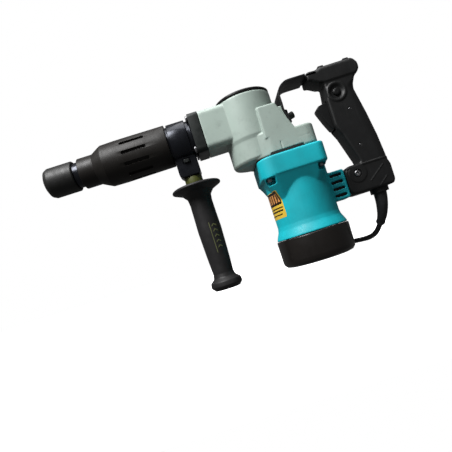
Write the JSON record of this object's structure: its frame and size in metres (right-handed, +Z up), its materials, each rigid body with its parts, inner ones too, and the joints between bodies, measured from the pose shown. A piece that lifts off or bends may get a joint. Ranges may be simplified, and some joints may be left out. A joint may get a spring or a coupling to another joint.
{
  "type": "electric demolition hammer",
  "caption": "Electric demolition hammer with slotted barrel, sliding nose ring, side grip on a clamp band, upright motor, D-handle with trigger and lock button, and coiled cord.",
  "frame": {"origin": "on the motor's axis, at the flat underside of the rear cover, which the tool stands on", "axes": "+X along the barrel from the nose towards the D-handle, +Z up along the motor's axis, +Y to the tool's right-hand side"},
  "size_m": [0.4501, 0.215, 0.2486],
  "materials": {
    "black_plastic": "satin",
    "gloss_black": "gloss",
    "black_steel": "satin",
    "bright_steel": "ground",
    "teal_plastic": "satin",
    "olive_plastic": "matte",
    "rubber": "matte",
    "copper": "varnished",
    "lamination": "satin",
    "carbon": "matte",
    "brass": "satin",
    "fibre": "matte",
    "aluminium": "painted"
  },
  "bodies": {
    "frame": {"armature_bearing_lower": "bright_steel", "armature_bearing_upper": "bright_steel", "barrel": "black_steel", "barrel_bolt_1": "black_steel", "barrel_bolt_2": "black_steel", "barrel_bolt_3": "black_steel", "barrel_bolt_4": "black_steel", "barrel_sleeve": "black_plastic", "bearing_retainer": "lamination", "brush_holder_far": "brass", "brush_holder_near": "brass", "carbon_brush_far": "carbon", "carbon_brush_near": "carbon", "cord_coil": "rubber", "cord_guard": "rubber", "crank_bearing_upper": "bright_steel", "crank_cap": "gloss_black", "crank_housing": "aluminium", "cylinder": "bright_steel", "handle_screw": "bright_steel", "handle_shell_left": "black_plastic", "handle_shell_right": "black_plastic", "handle_strap": "black_steel", "housing_gasket": "fibre", "motor_housing": "teal_plastic", "motor_screw_1": "bright_steel", "motor_screw_2": "bright_steel", "motor_screw_3": "bright_steel", "motor_screw_4": "bright_steel", "nose_spring": "bright_steel", "plug": "rubber", "power_cord": "rubber", "rear_cover": "gloss_black", "rear_cover_screw_1": "bright_steel", "rear_cover_screw_2": "bright_steel", "retainer_roller": "bright_steel", "stator": "copper", "strap_bolt_1": "black_steel", "strap_bolt_2": "black_steel", "switch_body": "black_plastic", "tool_holder": "black_steel", "trigger_spring": "bright_steel"},
    "nose": {"nose_ring": "rubber"},
    "trigger": {"trigger": "black_plastic"},
    "lock_button": {"lock_button": "black_plastic"},
    "clamp": {"clamp_band": "gloss_black", "clamp_bolt": "black_steel", "clamp_collar": "olive_plastic"},
    "grip": {"side_grip": "rubber", "grip_stud": "bright_steel"},
    "rotor": {"armature": "lamination", "fan": "black_plastic"},
    "crank": {"crankshaft": "bright_steel", "crank_gear": "bright_steel"},
    "piston": {"piston": "bright_steel", "wrist_pin": "bright_steel", "connecting_rod": "bright_steel", "crank_pin": "bright_steel"},
    "ram": {"ram": "bright_steel"},
    "striker": {"striker": "bright_steel"}
  },
  "joints": [
    {"name": "nose_ring_slide", "type": "slide", "parent": "frame", "child": "nose", "axis": [1, 0, 0], "range_m": [0, 0.006], "stiffness_N_per_m": 1500, "springref_m": -0.004, "deforming": ["nose_spring"]},
    {"name": "trigger_press", "type": "hinge", "parent": "frame", "child": "trigger", "pos_m": [0.073, 0, 0.164], "axis": [0, 1, 0], "range_deg": [0, 11], "stiffness_Nm_per_rad": 0.8, "springref_deg": -6.88, "deforming": ["trigger_spring"]},
    {"name": "lock_button_press", "type": "slide", "parent": "frame", "child": "lock_button", "axis": [0, 1, 0], "range_m": [0, 0.003], "stiffness_N_per_m": 400, "springref_m": -0.002},
    {"name": "side_handle_swivel", "type": "hinge", "parent": "frame", "child": "clamp", "pos_m": [-0.1345, 0, 0.209], "axis": [1, 0, 0], "continuous": true},
    {"name": "grip_twist", "type": "hinge", "parent": "clamp", "child": "grip", "pos_m": [-0.1325, 0, 0.1], "axis": [0, 0, 1], "continuous": true},
    {"name": "armature_turn", "type": "hinge", "parent": "frame", "child": "rotor", "pos_m": [0, 0, 0.08], "axis": [0, 0, 1], "continuous": true},
    {"name": "crank_turn", "type": "hinge", "parent": "frame", "child": "crank", "pos_m": [-0.03825, 0, 0.18], "axis": [0, 0, 1], "continuous": true},
    {"name": "piston_slide", "type": "slide", "parent": "frame", "child": "piston", "axis": [1, 0, 0], "range_m": [0, 0.024]},
    {"name": "ram_slide", "type": "slide", "parent": "frame", "child": "ram", "axis": [1, 0, 0], "range_m": [-0.0085, 0.018]},
    {"name": "striker_slide", "type": "slide", "parent": "frame", "child": "striker", "axis": [1, 0, 0], "range_m": [-0.0015, 0.0045]}
  ],
  "couplings": [
    {"joint": "crank_turn", "follows": "armature_turn", "ratio": -0.15909}
  ]
}
